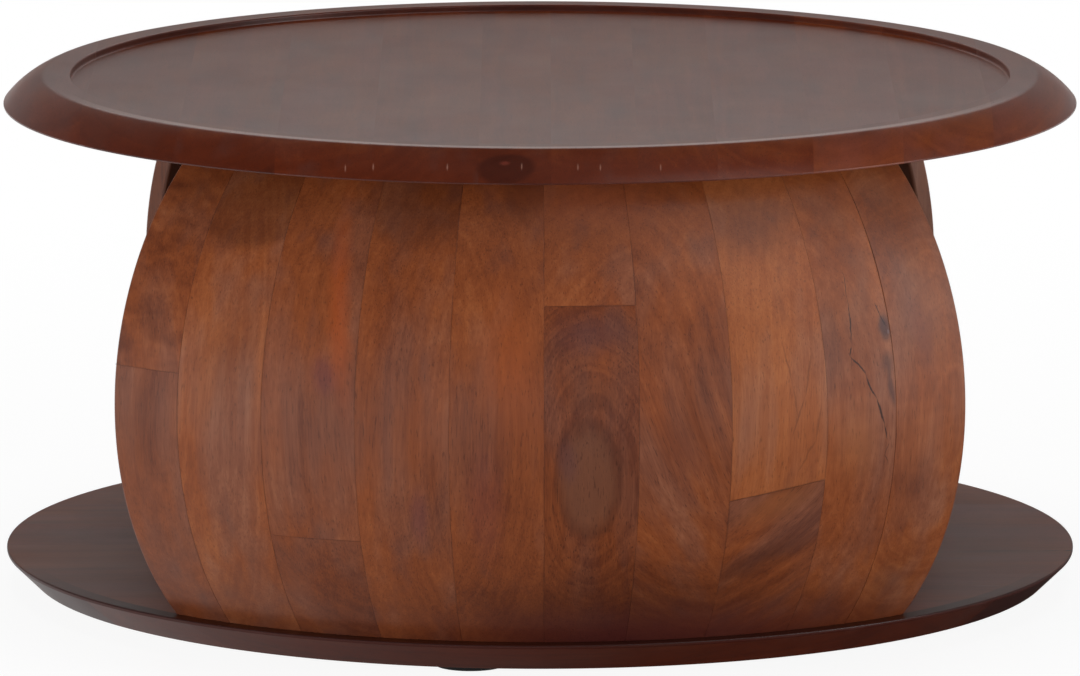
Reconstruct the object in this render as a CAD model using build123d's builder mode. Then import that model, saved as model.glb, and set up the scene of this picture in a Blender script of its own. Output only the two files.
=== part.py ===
# A low round table: a shallow tray top and a matching base plate, held apart by two bowed,
# barrel-like panels of upright staves. The sides between the panels are open.
#
# Millimetres, +Z up. The origin is on the floor, on the table's upright axis.
# -Y is the front, where the middle of the front panel stands.

import math
import os

from build123d import *

os.makedirs("parts", exist_ok=True)

# ---- Driving dimensions ------------------------------------------------------------------

# Tray top: boards edge-glued side by side, grain front to back, turned round, tray routed in.
top_radius = 400  # at the lip, the widest line
top_thickness = 22
top_bevel_run = 29  # how far the sloping rim stands out past the flat rim
top_bevel_bulge = 2.5  # how far the slope's middle swells out past the line from lip to crease
top_lip_height = 1.2
rim_width = 21  # flat rim round the tray
tray_depth = 5.5
top_board_widths = [65, 73, 72, 70, 76, 52, 62, 57, 69, 66, 68, 70]  # left to right

# Base plate: boards with the grain left to right, its edge undercut as the top's is sloped.
base_radius = 400  # at the lip, here at the plate's upper face
base_thickness = 21
base_undercut_run = 19
base_lip_height = 2.5
base_board_widths = [92, 86, 92, 112, 84, 80, 90, 76, 88]  # front to back

# Both discs: flats taken off their turned corners.
crease_flat = 3
top_lip_flat = 0.4
base_lip_flat = 0.7
tray_mouth_flat = 0.8

# Bowed panels: one before and one behind the open middle.
panel_height = 334
panel_foot_setback = 12  # outside face at the foot, in from the base plate's lip
panel_head_setback = 24  # outside face at the head, in from the top's lip
panel_bulge = 68  # outside face half way up, out past the line from foot to head
stave_thickness = 18  # square to the bowed face
panel_arc = 86.2  # degrees that each panel runs round the table
panel_end_softening = 2.5
front_stave_widths = [61, 71, 72, 69, 68, 68, 68, 74, 58, 67]  # round the belly, left to right
rear_stave_widths = [70, 64, 72, 66, 69, 62, 71, 68, 60, 74]

# Staves glued up from two lengths: height of the end joint over the base plate, and its slant
# in degrees across the stave.
front_end_joints = {1: (192, 0), 3: (79, 0), 6: (252, 0), 8: (115, 8.5)}
rear_end_joints = {4: (226, 0), 9: (128, 0)}

# Curved cleats glued in the corners behind each panel, and the screws through them.
cleat_height = 25
cleat_foot_depth = 25  # from the panel's inside face, measured on the disc that it is screwed to
cleat_arc = 60
glue_line = 0.15
screw_angles = [-18, 0, 18]  # degrees round each cleat, from its middle
cleat_screw_inset = 12  # from the panel's inside face, at the disc
screw_shank_radius = 2.25
screw_head_radius = 4.5
screw_head_height = 3
screw_point_length = 6
top_screw_bite = 11  # how far the upper cleats' screws reach into the top
base_screw_bite = 19  # how far the lower cleats' screws reach into the cleats
screw_play = 0.05

# Round glides under the base plate.
glide_radius = 27.5
glide_height = 8
glide_softening = 3
glide_inset = 71  # from the base plate's lip to the glide's middle
glide_count = 5
first_glide_angle = -98.8  # degrees from +X
glide_head_depth = 2.5  # how far the screw's head lies up inside the glide
glide_screw_bite = 14.5  # how far the screw reaches into the base plate

# ---- Levels and shared values that follow ----------------------------------------------

base_bottom = glide_height
base_top = base_bottom + base_thickness
top_bottom = base_top + panel_height
top_top = top_bottom + top_thickness
tray_floor = top_top - tray_depth
tray_radius = top_radius - top_bevel_run - rim_width
glide_circle_radius = base_radius - glide_inset

panel_foot_radius = base_radius - panel_foot_setback
panel_head_radius = top_radius - panel_head_setback
panel_belly_radius = (panel_foot_radius + panel_head_radius) / 2 + panel_bulge
panel_middle = panel_height / 2

top_screw_length = cleat_height + top_screw_bite
base_screw_length = base_thickness + base_screw_bite
glide_screw_length = glide_height - glide_head_depth + glide_screw_bite

front_azimuth = -90
rear_azimuth = 90
tall = 2 * (top_top + panel_belly_radius)  # longer than anything here, for cutting bodies


def bow_circle():
    """Centre radius, centre height and radius of the circle through foot, belly and head."""
    foot, belly, head = panel_foot_radius, panel_belly_radius, panel_head_radius
    top = panel_height
    # Equal distance from the centre (c, h) to the three points gives two straight equations.
    a1, b1 = 2 * (belly - foot), 2 * panel_middle
    c1 = belly**2 - foot**2 + panel_middle**2
    a2, b2 = 2 * (head - foot), 2 * top
    c2 = head**2 - foot**2 + top**2
    determinant = a1 * b2 - a2 * b1
    centre = (c1 * b2 - c2 * b1) / determinant
    height = (a1 * c2 - a2 * c1) / determinant
    return centre, height, math.hypot(foot - centre, height)


def panel_radius(height, inset=0):
    """Radius of the bowed face at a height over the base plate, inset from the outside."""
    centre, middle, radius = bow_circle()
    outwards = 1 if panel_belly_radius > centre else -1
    parallel = radius - outwards * inset
    return centre + outwards * math.sqrt(parallel**2 - (height - middle) ** 2)


def bow_arc(low, high, inset=0):
    """Three points of the bowed face between two heights over the base plate."""
    heights = (low, (low + high) / 2, high)
    return [(panel_radius(h, inset), base_top + h) for h in heights]


def upright_plane(azimuth):
    """The upright plane through the table's axis, its x pointing out at this azimuth."""
    angle = math.radians(azimuth)
    return Plane(
        origin=(0, 0, 0),
        x_dir=(math.cos(angle), math.sin(angle), 0),
        z_dir=(math.sin(angle), -math.cos(angle), 0),
    )


def shared_out(widths, total):
    """Running edges of pieces that fill a total in proportion to their widths."""
    edges = [0]
    for width in widths:
        edges.append(edges[-1] + width * total / sum(widths))
    return edges


def write(piece, name):
    piece.label = name
    export_step(piece, f"parts/{name}.step")


# ---- Screws ------------------------------------------------------------------------------


def screw_profile(length, play=0):
    """Half outline of a countersunk wood screw: head's flat at 0, point at the length."""
    shank = screw_shank_radius + play
    head = screw_head_radius + play
    return [
        (0, 0),
        (head, 0),
        (shank, screw_head_height),
        (shank, length - screw_point_length),
        (0, length + play),
    ]


def place_radial(radius, azimuth, height, upwards=True):
    """A plane at a spot round the table's axis, its y axis along the screw."""
    angle = math.radians(azimuth)
    out = (math.cos(angle), math.sin(angle), 0)
    side = (math.sin(angle), -math.cos(angle), 0)
    back = (-side[0], -side[1], 0)
    spot = (radius * out[0], radius * out[1], height)
    return Plane(origin=spot, x_dir=out, z_dir=side if upwards else back)


def screw_body(plane, length, play=0):
    with BuildPart() as screw:
        with BuildSketch(plane):
            with BuildLine():
                Polyline(*screw_profile(length, play), close=True)
            make_face()
        revolve(axis=Axis(plane.origin, plane.y_dir))
    return screw.part


def spots_round(azimuths, radius, height):
    """One upward plane for each azimuth."""
    return [place_radial(radius, azimuth, height) for azimuth in azimuths]


cleat_azimuths = [side + a for side in (front_azimuth, rear_azimuth) for a in screw_angles]
glide_azimuths = [first_glide_angle + 360 / glide_count * i for i in range(glide_count)]

top_screw_radius = panel_radius(panel_height, stave_thickness) - cleat_screw_inset
base_screw_radius = panel_radius(0, stave_thickness) - cleat_screw_inset

top_screw_spots = spots_round(cleat_azimuths, top_screw_radius, top_bottom - cleat_height)
base_screw_spots = spots_round(cleat_azimuths, base_screw_radius, base_bottom)
glide_screw_spots = spots_round(glide_azimuths, glide_circle_radius, glide_head_depth)

screw_sets = {
    "top_cleat_screws": (top_screw_spots, top_screw_length),
    "base_cleat_screws": (base_screw_spots, base_screw_length),
    "glide_screws": (glide_screw_spots, glide_screw_length),
}


def screw_holes(*names):
    """Cutting bodies for the holes of these screw sets."""
    return [
        screw_body(spot, screw_sets[name][1], screw_play)
        for name in names
        for spot in screw_sets[name][0]
    ]


for name, (spots, length) in screw_sets.items():
    with BuildPart() as screws:
        for spot in spots:
            add(screw_body(spot, length))
    write(screws.part, name)

# ---- Tray top ----------------------------------------------------------------------------


def ease(sketch, corner, flat):
    """Takes a flat off the corner of a sketch that lies nearest to a point."""
    chamfer(sketch.vertices().sort_by_distance(corner)[0], length=flat)


def along_bulge(start, end, bulge, share):
    """The point at this share of an arc between two points that swells out by the bulge."""
    run, rise = end[0] - start[0], end[1] - start[1]
    chord = math.hypot(run, rise)
    half_turn = 2 * math.atan(2 * bulge / chord)
    radius = chord / (2 * math.sin(half_turn))
    turn = (2 * share - 1) * half_turn
    along = (chord / 2 + radius * math.sin(turn)) / chord
    out = (bulge - radius + radius * math.cos(turn)) / chord
    return start[0] + along * run + out * rise, start[1] + along * rise - out * run


with BuildPart() as tray_disc:
    with BuildSketch(Plane.XZ) as tray_section:
        lip = (top_radius, top_bottom + top_lip_height)
        crease = (top_radius - top_bevel_run, top_top)
        slope_length = math.dist(lip, crease)
        slope_end = 1 - crease_flat / slope_length
        slope = [
            along_bulge(lip, crease, top_bevel_bulge, share)
            for share in (0, slope_end / 2, slope_end)
        ]
        lip_corner = (top_radius, top_bottom)
        mouth_corner = (tray_radius, top_top)
        with BuildLine():
            ThreePointArc(*slope)
            Polyline(
                slope[2],
                (crease[0] - crease_flat, top_top),
                mouth_corner,
                (tray_radius, tray_floor),
                (0, tray_floor),
                (0, top_bottom),
                lip_corner,
                slope[0],
            )
        make_face()
        ease(tray_section, lip_corner, top_lip_flat)
        ease(tray_section, mouth_corner, tray_mouth_flat)
    revolve(axis=Axis.Z)

top_edges = shared_out(top_board_widths, 2 * top_radius)
top_holes = screw_holes("top_cleat_screws")

for number, (left, right) in enumerate(zip(top_edges, top_edges[1:]), start=1):
    with BuildPart() as top_board:
        add(tray_disc.part)
        with Locations((left - top_radius, 0, 0)):
            Box(
                right - left,
                tall,
                tall,
                align=(Align.MIN, Align.CENTER, Align.CENTER),
                mode=Mode.INTERSECT,
            )
        add(top_holes, mode=Mode.SUBTRACT)
    write(top_board.part, f"top_board_{number:02d}")

# ---- Base plate --------------------------------------------------------------------------

with BuildPart() as base_disc:
    with BuildSketch(Plane.XZ) as base_section:
        corners = [
            (0, base_bottom),
            (base_radius - base_undercut_run, base_bottom),
            (base_radius, base_top - base_lip_height),
            (base_radius, base_top),
            (0, base_top),
        ]
        with BuildLine():
            Polyline(*corners, close=True)
        make_face()
        ease(base_section, corners[1], base_lip_flat)
        ease(base_section, corners[2], base_lip_flat)
        ease(base_section, corners[3], base_lip_flat)
    revolve(axis=Axis.Z)

base_edges = shared_out(base_board_widths, 2 * base_radius)
base_holes = screw_holes("base_cleat_screws", "glide_screws")

for number, (near, far) in enumerate(zip(base_edges, base_edges[1:]), start=1):
    with BuildPart() as base_board:
        add(base_disc.part)
        with Locations((0, near - base_radius, 0)):
            Box(
                tall,
                far - near,
                tall,
                align=(Align.CENTER, Align.MIN, Align.CENTER),
                mode=Mode.INTERSECT,
            )
        add(base_holes, mode=Mode.SUBTRACT)
    write(base_board.part, f"base_board_{number:02d}")

# ---- Bowed panels ------------------------------------------------------------------------


def end_edges(stave, azimuth):
    """The two long bowed edges of a stave that lie in the upright plane at an azimuth."""
    plane = upright_plane(azimuth)
    return [
        edge
        for edge in stave.edges().filter_by(GeomType.CIRCLE)
        if all(abs(plane.to_local_coords(edge @ t).Z) < 1e-3 for t in (0, 0.5, 1))
    ]


def joint_plane(azimuth, height, slant):
    """The plane of a stave's end joint, slanting up to the stave's second side."""
    angle = math.radians(azimuth)
    lean = math.radians(slant)
    along = (-math.sin(angle), math.cos(angle))
    spot = (
        panel_belly_radius * math.cos(angle),
        panel_belly_radius * math.sin(angle),
        base_top + height,
    )
    normal = (-math.sin(lean) * along[0], -math.sin(lean) * along[1], math.cos(lean))
    return Plane(origin=spot, x_dir=(math.cos(angle), math.sin(angle), 0), z_dir=normal)


def make_panel(side, middle_azimuth, widths, end_joints):
    """Writes the staves of one panel, numbered anticlockwise seen from above."""
    start = middle_azimuth - panel_arc / 2
    edges = shared_out(widths, panel_arc)
    for number, (first, last) in enumerate(zip(edges, edges[1:]), start=1):
        with BuildPart() as stave:
            with BuildSketch(upright_plane(start + first)):
                outside = bow_arc(0, panel_height)
                inside = bow_arc(0, panel_height, stave_thickness)
                with BuildLine():
                    ThreePointArc(*outside)
                    Line(outside[-1], inside[-1])
                    ThreePointArc(*inside)
                    Line(inside[0], outside[0])
                make_face()
            revolve(axis=Axis.Z, revolution_arc=last - first)
            if number == 1:
                fillet(end_edges(stave, start), radius=panel_end_softening)
            if number == len(widths):
                fillet(end_edges(stave, start + panel_arc), radius=panel_end_softening)
        name = f"{side}_stave_{number:02d}"
        if number not in end_joints:
            write(stave.part, name)
            continue
        height, slant = end_joints[number]
        joint = joint_plane(start + (first + last) / 2, height, slant)
        for length, keep in (("lower", Keep.BOTTOM), ("upper", Keep.TOP)):
            with BuildPart() as half:
                add(stave.part)
                split(bisect_by=joint, keep=keep)
            write(half.part, f"{name}_{length}")


make_panel("front", front_azimuth, front_stave_widths, front_end_joints)
make_panel("rear", rear_azimuth, rear_stave_widths, rear_end_joints)

# ---- Cleats behind the panels ------------------------------------------------------------

cleat_inset = stave_thickness + glue_line


def make_cleat(name, middle_azimuth, at_top):
    """A curved corner cleat that fills the angle between a panel and a disc."""
    disc, away = (panel_height, panel_height - cleat_height) if at_top else (0, cleat_height)
    back = panel_radius(disc, cleat_inset) - cleat_foot_depth
    against = bow_arc(disc, away, cleat_inset)
    corners = [against[-1], (back, base_top + away), (back, base_top + disc), against[0]]
    with BuildPart() as cleat:
        with BuildSketch(upright_plane(middle_azimuth - cleat_arc / 2)):
            with BuildLine():
                ThreePointArc(*against)
                Polyline(*corners)
            make_face()
        revolve(axis=Axis.Z, revolution_arc=cleat_arc)
        screws = "top_cleat_screws" if at_top else "base_cleat_screws"
        add(screw_holes(screws), mode=Mode.SUBTRACT)
    write(cleat.part, name)


for side, azimuth in (("front", front_azimuth), ("rear", rear_azimuth)):
    make_cleat(f"{side}_top_cleat", azimuth, at_top=True)
    make_cleat(f"{side}_base_cleat", azimuth, at_top=False)

# ---- Glides ------------------------------------------------------------------------------

glide_holes = screw_holes("glide_screws")

for number, azimuth in enumerate(glide_azimuths, start=1):
    centre = place_radial(glide_circle_radius, azimuth, 0)
    with BuildPart() as glide:
        with BuildSketch(centre) as glide_section:
            with Locations((glide_radius / 2, glide_height / 2)):
                Rectangle(glide_radius, glide_height)
            rim = glide_section.vertices().sort_by_distance((glide_radius, 0))[0]
            fillet(rim, radius=glide_softening)
        revolve(axis=Axis(centre.origin, centre.y_dir))
        with Locations(centre.origin):
            Cylinder(
                screw_head_radius + screw_play,
                glide_head_depth,
                align=(Align.CENTER, Align.CENTER, Align.MIN),
                mode=Mode.SUBTRACT,
            )
        add(glide_holes, mode=Mode.SUBTRACT)
    write(glide.part, f"glide_{number}")
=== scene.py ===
import math
import random
from functools import partial
from typing import NamedTuple

import bmesh
import bpy
from mathutils import Matrix, Vector


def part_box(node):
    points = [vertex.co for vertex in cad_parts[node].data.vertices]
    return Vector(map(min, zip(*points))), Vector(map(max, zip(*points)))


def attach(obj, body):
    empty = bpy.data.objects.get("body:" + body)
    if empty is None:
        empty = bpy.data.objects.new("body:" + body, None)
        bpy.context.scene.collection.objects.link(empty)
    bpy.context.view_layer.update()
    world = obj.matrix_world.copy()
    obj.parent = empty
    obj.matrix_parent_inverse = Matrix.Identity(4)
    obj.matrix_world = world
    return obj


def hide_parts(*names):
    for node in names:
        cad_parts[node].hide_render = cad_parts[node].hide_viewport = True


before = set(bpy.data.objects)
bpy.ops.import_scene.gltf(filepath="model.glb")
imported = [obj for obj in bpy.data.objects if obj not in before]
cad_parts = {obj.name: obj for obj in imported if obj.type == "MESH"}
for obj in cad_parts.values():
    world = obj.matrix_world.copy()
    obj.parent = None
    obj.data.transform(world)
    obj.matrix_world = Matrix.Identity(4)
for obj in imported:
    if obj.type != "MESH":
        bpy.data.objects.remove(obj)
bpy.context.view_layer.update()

# A low round table of stained mango wood: a shallow turned tray over a turned base plate, held
# apart by two bowed panels of staves. Metres, +Z up, the front panel towards -Y.

# ---- Sizes ----

MM = 0.001


def extent(start):
    """Lowest and highest corner of all the CAD nodes whose names start this way."""
    boxes = [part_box(node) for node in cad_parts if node.startswith(start)]
    low = Vector([min(box[0][axis] for box in boxes) for axis in range(3)])
    high = Vector([max(box[1][axis] for box in boxes) for axis in range(3)])
    return low, high


tray_low, tray_high = extent("top_board")
plate_low, plate_high = extent("base_board")
tray_lip_radius = tray_high.x
tray_bottom, rim_level = tray_low.z, tray_high.z
plate_radius = plate_high.x
plate_bottom, plate_level = plate_low.z, plate_high.z
panel_height = tray_bottom - plate_level

rim_slope_run = 29 * MM
rim_slope_bulge = 2.5 * MM
tray_lip_height = 1.2 * MM
tray_radius = 350 * MM
tray_depth = 5.5 * MM
plate_undercut_run = 19 * MM
plate_lip_height = 2.5 * MM

panel_foot_radius = 388 * MM
panel_belly_radius = 450 * MM
panel_head_radius = 376 * MM
stave_thickness = 18 * MM
front_middle = math.radians(-90)
rear_middle = math.radians(90)

cleat_glue_line = 0.15 * MM
cleat_height = 25 * MM
cleat_depth = 25 * MM
cleat_arc = math.radians(60)


def bow_circle(foot, belly, head, height):
    """Centre radius, centre height and radius of the circle through foot, belly and head."""
    middle = height / 2
    a1, b1 = 2 * (belly - foot), 2 * middle
    c1 = belly**2 - foot**2 + middle**2
    a2, b2 = 2 * (head - foot), 2 * height
    c2 = head**2 - foot**2 + height**2
    determinant = a1 * b2 - a2 * b1
    centre = (c1 * b2 - c2 * b1) / determinant
    level = (a1 * c2 - a2 * c1) / determinant
    return centre, level, math.hypot(foot - centre, level)


bow_centre, bow_level, bow_radius = bow_circle(
    panel_foot_radius, panel_belly_radius, panel_head_radius, panel_height
)


def panel_radius(height, inset=0.0):
    """Radius of the bowed face at a height over the base plate, inset from the outside."""
    return bow_centre + math.sqrt((bow_radius - inset) ** 2 - (height - bow_level) ** 2)


# ---- Small tools ----


def linear(code):
    """Linear colour of an sRGB hex code such as "#8a4c2e"."""
    shares = [int(code[i : i + 2], 16) / 255 for i in (1, 3, 5)]
    return [
        share / 12.92 if share <= 0.04045 else ((share + 0.055) / 1.055) ** 2.4 for share in shares
    ] + [1.0]


def add_node(tree, kind, sockets=(), operation=None, **settings):
    """Adds a node with its settings; sockets, in order or by name, get values or links. A kind
    without a prefix is a shader node, and one in capitals is that operation of Math."""
    if kind.isupper():
        kind, operation = "Math", kind
    node = tree.nodes.new(kind if "Node" in kind else "ShaderNode" + kind)
    if operation:
        settings["operation"] = operation
    for name, value in settings.items():
        setattr(node, name, value)
    pairs = sockets.items() if isinstance(sockets, dict) else enumerate(sockets)
    for key, value in pairs:
        if isinstance(value, bpy.types.Node):
            value = value.outputs[0]
        if isinstance(value, bpy.types.NodeSocket):
            tree.links.new(value, node.inputs[key])
        elif value is not None:
            node.inputs[key].default_value = value
    return node


def set_ramp(node, stops):
    """Gives a colour ramp these stops: place, colour."""
    ramp = node.color_ramp
    while len(ramp.elements) < len(stops):
        ramp.elements.new(1.0)
    for element, (place, colour) in zip(ramp.elements, stops):
        element.position = place
        element.color = colour


def new_material(name):
    """An empty node material and what adds nodes to it."""
    material = bpy.data.materials.new(name)
    material.use_nodes = True
    material.node_tree.nodes.clear()
    return material, partial(add_node, material.node_tree)


def new_geometry(name, output, **inputs):
    """A geometry tree, what adds nodes to it, and its inputs, which are given by kind."""
    tree = bpy.data.node_groups.new(name, "GeometryNodeTree")
    for kind, names in inputs.items():
        for item in names:
            tree.interface.new_socket(item, in_out="INPUT", socket_type="NodeSocket" + kind)
    tree.interface.new_socket(output, in_out="OUTPUT", socket_type="NodeSocketGeometry")
    add = partial(add_node, tree)
    return tree, add, add("NodeGroupInput").outputs


def put_out(add, geometry, finish):
    """Ends a geometry tree with real meshes in their finish."""
    real = add("GeometryNodeRealizeInstances", (geometry,))
    add("NodeGroupOutput", (add("GeometryNodeSetMaterial", {"Geometry": real, "Material": finish}),))


def new_object(name, mesh):
    thing = bpy.data.objects.new(name, mesh)
    bpy.context.scene.collection.objects.link(thing)
    return thing


# ---- Stained mango wood ----
#
# Solid mango, planed and sanded, stained red-brown and sprayed with satin lacquer. The stain
# goes on unevenly: soft clouds drawn out along the grain, orange where the wood is dense and
# rosy grey where it is soft or blue-stained. Growth rings show as faint bands, and the open
# pores as fine dark dashes.
#
# Attributes written on every wooden piece steer it:
# plank  - millimetres in the plank that the piece was sawn from: x and y across the grain from
#          the heart of the tree, z along the grain. End grain comes out by itself.
# temper - the piece's own tone, how orange it is, and how curly its grain is.
# growth - rings to the millimetre, how strongly they show, and how strongly the pores show.
# place  - the stave's number and the millimetres to its two glued sides.
# end_joint - millimetres to the joint across the stave, where it has one.


class Mark(NamedTuple):
    """A mark on a panel, in millimetres round its belly and over the plate: a stain, knot or split, or
    painted shade or sheen.
    """

    stave: int  # 0 for every stave
    across: float
    height: float
    half_width: float
    half_height: float
    turn: float  # degrees, anticlockwise
    colour: str
    strength: float
    softness: float = 1.0  # share of the mark over which it fades out


GREY = "#4a3a3c"
DARK = "#32140c"
CRACK = "#22100f"
STREAK = "#542a18"
EMBER = "#a34716"
ROSE = "#5d3136"


def split(stave, colour, strength, *points):
    """A wandering line as a chain of thin marks between points (across, height, half width)."""
    chain = []
    for (x0, z0, half0), (x1, z1, half1) in zip(points, points[1:]):
        middle = ((x0 + x1) / 2, (z0 + z1) / 2)
        half_length = 0.64 * math.hypot(x1 - x0, z1 - z0)
        turn = math.degrees(math.atan2(x1 - x0, z0 - z1))
        half_width = (half0 + half1) / 2
        chain.append(Mark(stave, *middle, half_width, half_length, turn, colour, strength, 0.6))
    return chain


front_marks = [
    # Painted shade under the tray's lip, over the top of every stave.
    Mark(0, 0, 380, 620, 130, 0, DARK, 0.42),
    # Painted shade along the foot, darkest at the middle, where the staves face down and little light
    # reaches.
    Mark(0, 70, -14, 220, 100, 0, "#33100b", 0.85, 0.9),
    Mark(2, -235, 326, 70, 48, 14, DARK, 0.42, 0.22),
    Mark(3, -158, 200, 14, 21, 10, ROSE, 0.45, 0.7),
    Mark(3, -151, 246, 13, 104, 8, EMBER, 0.44),
    Mark(4, -104, 322, 62, 40, -4, DARK, 0.30, 0.45),
    Mark(4, -88, 100, 10, 30, 0, ROSE, 0.35, 0.8),
    Mark(5, -12, 332, 26, 32, 0, DARK, 0.45, 0.5),
    Mark(5, -22, 215, 30, 80, 3, "#9a4a1c", 0.40),
    Mark(5, -40, 110, 20, 60, 0, ROSE, 0.25, 0.8),
    Mark(6, 35, 129, 27, 49, 2, "#3e2219", 0.36, 0.16),
    Mark(6, 35, 128, 24, 45, 2, "#744a36", 0.50, 0.40),
    Mark(6, 20, 142, 10, 24, 4, "#4a3038", 0.30, 0.8),
    # A dark purple-brown band whose greyness is a painted sheen.
    Mark(6, 36, 232, 40, 22, 0, "#4b3134", 0.45, 0.9),
    Mark(7, 100, 150, 20, 34, 30, "#5a2c20", 0.35, 0.8),
    Mark(8, 170, 300, 50, 30, 0, "#4b2a22", 0.55),
    Mark(9, 240, 232, 60, 80, 0, DARK, 0.26),
    Mark(9, 240, 300, 40, 36, 0, DARK, 0.22),
    Mark(10, 300, 246, 60, 80, 0, DARK, 0.34),
    Mark(10, 300, 300, 60, 44, 0, DARK, 0.36),
    Mark(1, -300, 320, 60, 60, 0, DARK, 0.28),
    Mark(2, -235, 200, 44, 60, 0, DARK, 0.22),
    # More painted shade along the foot, greyish brown on the left and purplish across the middle.
    Mark(0, 240, -20, 140, 74, 0, "#33100b", 0.50),
    Mark(0, -230, -20, 190, 84, 0, "#5e3a30", 0.52),
    Mark(0, 100, 2, 330, 40, 0, "#56282a", 0.42),
    # A paler red-brown that eases the painted shade under the lip at the middle of the head.
    Mark(0, 40, 322, 110, 26, 0, "#8c4c38", 0.24),
    Mark(6, 35, 188, 32, 24, 0, DARK, 0.30),
    Mark(8, 178, 106, 50, 17, 20, "#8c5634", 0.38),
    Mark(8, 168, 62, 54, 15, 20, "#3f2018", 0.48, 0.8),
    Mark(9, 238, 145, 26, 38, 0, "#a0653f", 0.34),
    Mark(10, 300, 140, 34, 40, 0, "#9a5f42", 0.30),
    Mark(1, -305, 225, 30, 44, 0, DARK, 0.16),
    Mark(10, 300, 214, 30, 34, 0, DARK, 0.16),
    Mark(10, 300, 36, 44, 44, 0, DARK, 0.22),
    Mark(9, 267, 225, 8, 12, 4, "#3a2628", 0.85, 0.7),
    Mark(9, 266, 200, 9, 12, 4, "#3c2626", 0.62, 0.9),
    Mark(9, 268, 182, 4, 22, 8, "#3c2426", 0.70, 0.9),
    Mark(9, 270, 222, 1.4, 2.0, 0, "#75686c", 0.40, 0.8),
    Mark(10, 300, 215, 14, 40, 10, "#6a3a30", 0.35, 0.9),
    *split(
        9,
        CRACK,
        0.9,
        (239.5, 266, 0.3),
        (239.5, 247, 0.5),
        (236.5, 216, 0.7),
        (234.5, 209, 0.8),
        (245.8, 194, 1.1),
        (254.5, 176, 1.2),
        (260.8, 157, 1.0),
        (264.7, 145, 0.6),
    ),
    *split(9, CRACK, 0.8, (262.3, 243, 0.5), (264.7, 234, 0.8), (268, 226, 0.6)),
    *split(9, CRACK, 0.6, (266, 141, 0.5), (262, 133, 0.7), (266, 126, 0.4)),
    *split(8, STREAK, 0.45, (203, 214, 0.7), (196, 184, 1.3), (184, 152, 0.7)),
    *split(8, STREAK, 0.40, (180, 222, 0.6), (186, 190, 1.1), (190, 166, 0.6)),
    *split(8, STREAK, 0.40, (208, 176, 0.7), (204, 150, 1.2), (190, 128, 0.7)),
]
rear_marks = [
    # Painted shade under the tray's lip, over the top of every stave.
    Mark(0, 0, 380, 620, 130, 0, DARK, 0.42),
    # Painted shade along the foot.
    Mark(0, -40, -14, 200, 64, 0, "#33100b", 0.65, 0.9),
    Mark(13, -176, 236, 16, 30, -10, GREY, 0.55, 0.6),
    Mark(15, -40, 120, 16, 80, 6, EMBER, 0.55, 0.8),
    Mark(17, 96, 92, 5, 9, 8, CRACK, 0.65, 0.5),
    Mark(17, 96, 92, 15, 26, 8, DARK, 0.45, 0.7),
    Mark(18, 170, 300, 40, 30, 12, DARK, 0.40, 0.4),
    *split(12, STREAK, 0.6, (-236, 190, 0.4), (-240, 160, 0.9), (-232, 120, 0.4)),
]


# Marks on the discs' upper faces, in millimetres to the right and to the back of the middle.
tray_marks = [
    Mark(0, -24, -389, 24, 13, 0, "#2c0f0b", 0.55, 0.3),
    Mark(0, -25, -386, 5, 2.5, 0, "#8a3a2a", 0.40, 0.8),
    *[
        Mark(0, *nick, 0.8, 3.5, 0, "#a87866", 0.50, 0.8)
        for nick in (
            (-139, -369), (-119, -374), (-66, -385), (-13, -389), (27, -389), (43, -388), (86, -382)
        )
    ],
]
plate_marks = [
    Mark(0, 352, -42, 50, 9, 0, DARK, 0.30, 0.9),
    *split(0, CRACK, 0.9, (404, -40, 3.4), (391, -41, 2.4), (372, -43, 1.2)),
    Mark(0, 345, -204, 3.2, 5, -30, CRACK, 0.80, 0.5),
    Mark(0, 346, -211, 2.5, 2.0, -30, "#b09a94", 0.60, 0.6),
    Mark(0, 328, -178, 14, 1.0, 0, "#a08c86", 0.40, 0.7),
]


class Wood(NamedTuple):
    """What sets one stained surface apart from another."""

    name: str
    orange_shades: tuple  # from the darkest streak to the palest
    rosy_shades: tuple
    streak_depth: float
    cloud_depth: float
    end_grain: float  # how much darker the stain goes on end grain
    end_tone: float  # how much further the pieces' tones lie apart there
    edge_stain: float  # how much darker the stain goes on the turned edges
    hidden_stain: float  # how much darker the sides come out, and the backs with painted shade, as the tray shades the inside
    bands: tuple  # painted highlight and shade in bands on top: inner and outer radius in millimetres, colour, strength
    grain: tuple  # the way the grain runs, for pieces that show their end grain
    roughness: float
    relief: float


stave_wood = Wood(
    name="stained_mango_staves_satin_lacquer",
    orange_shades=("#38150a", "#612d15", "#804221", "#9a5932", "#b77848"),
    rosy_shades=("#33160f", "#5a3022", "#794834", "#926048", "#ac7c63"),
    streak_depth=0.20,
    cloud_depth=0.36,
    end_grain=0.0,
    end_tone=0.0,
    edge_stain=0.0,
    hidden_stain=0.9,
    bands=(),
    grain=(0, 0, 1),
    roughness=0.42,
    relief=0.12,
)
tray_wood = stave_wood._replace(
    name="stained_mango_tray_satin_lacquer",
    orange_shades=("#3a130a", "#5f2612", "#82401f", "#9b5630", "#b37245"),
    rosy_shades=("#38180f", "#5c2b1d", "#7d3f2c", "#98543e", "#b06c55"),
    streak_depth=0.10,
    cloud_depth=0.20,
    end_grain=0.20,
    end_tone=5.0,
    edge_stain=0.08,
    hidden_stain=0.0,
    # A painted highlight along the crease.
    bands=((362, 371.5, "#dcbcb2", 0.45),),
    grain=(0, 1, 0),
    roughness=0.30,
    relief=0.02,
)
plate_wood = tray_wood._replace(
    name="stained_mango_base_plate_satin_lacquer",
    streak_depth=0.12,
    edge_stain=0.95,
    # Painted shade on the plate's rim below the panels' bulge, at the front.
    bands=((385, 402, "#2a1210", 0.85),),
    grain=(1, 0, 0),
    roughness=0.36,
    relief=0.04,
)
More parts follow.
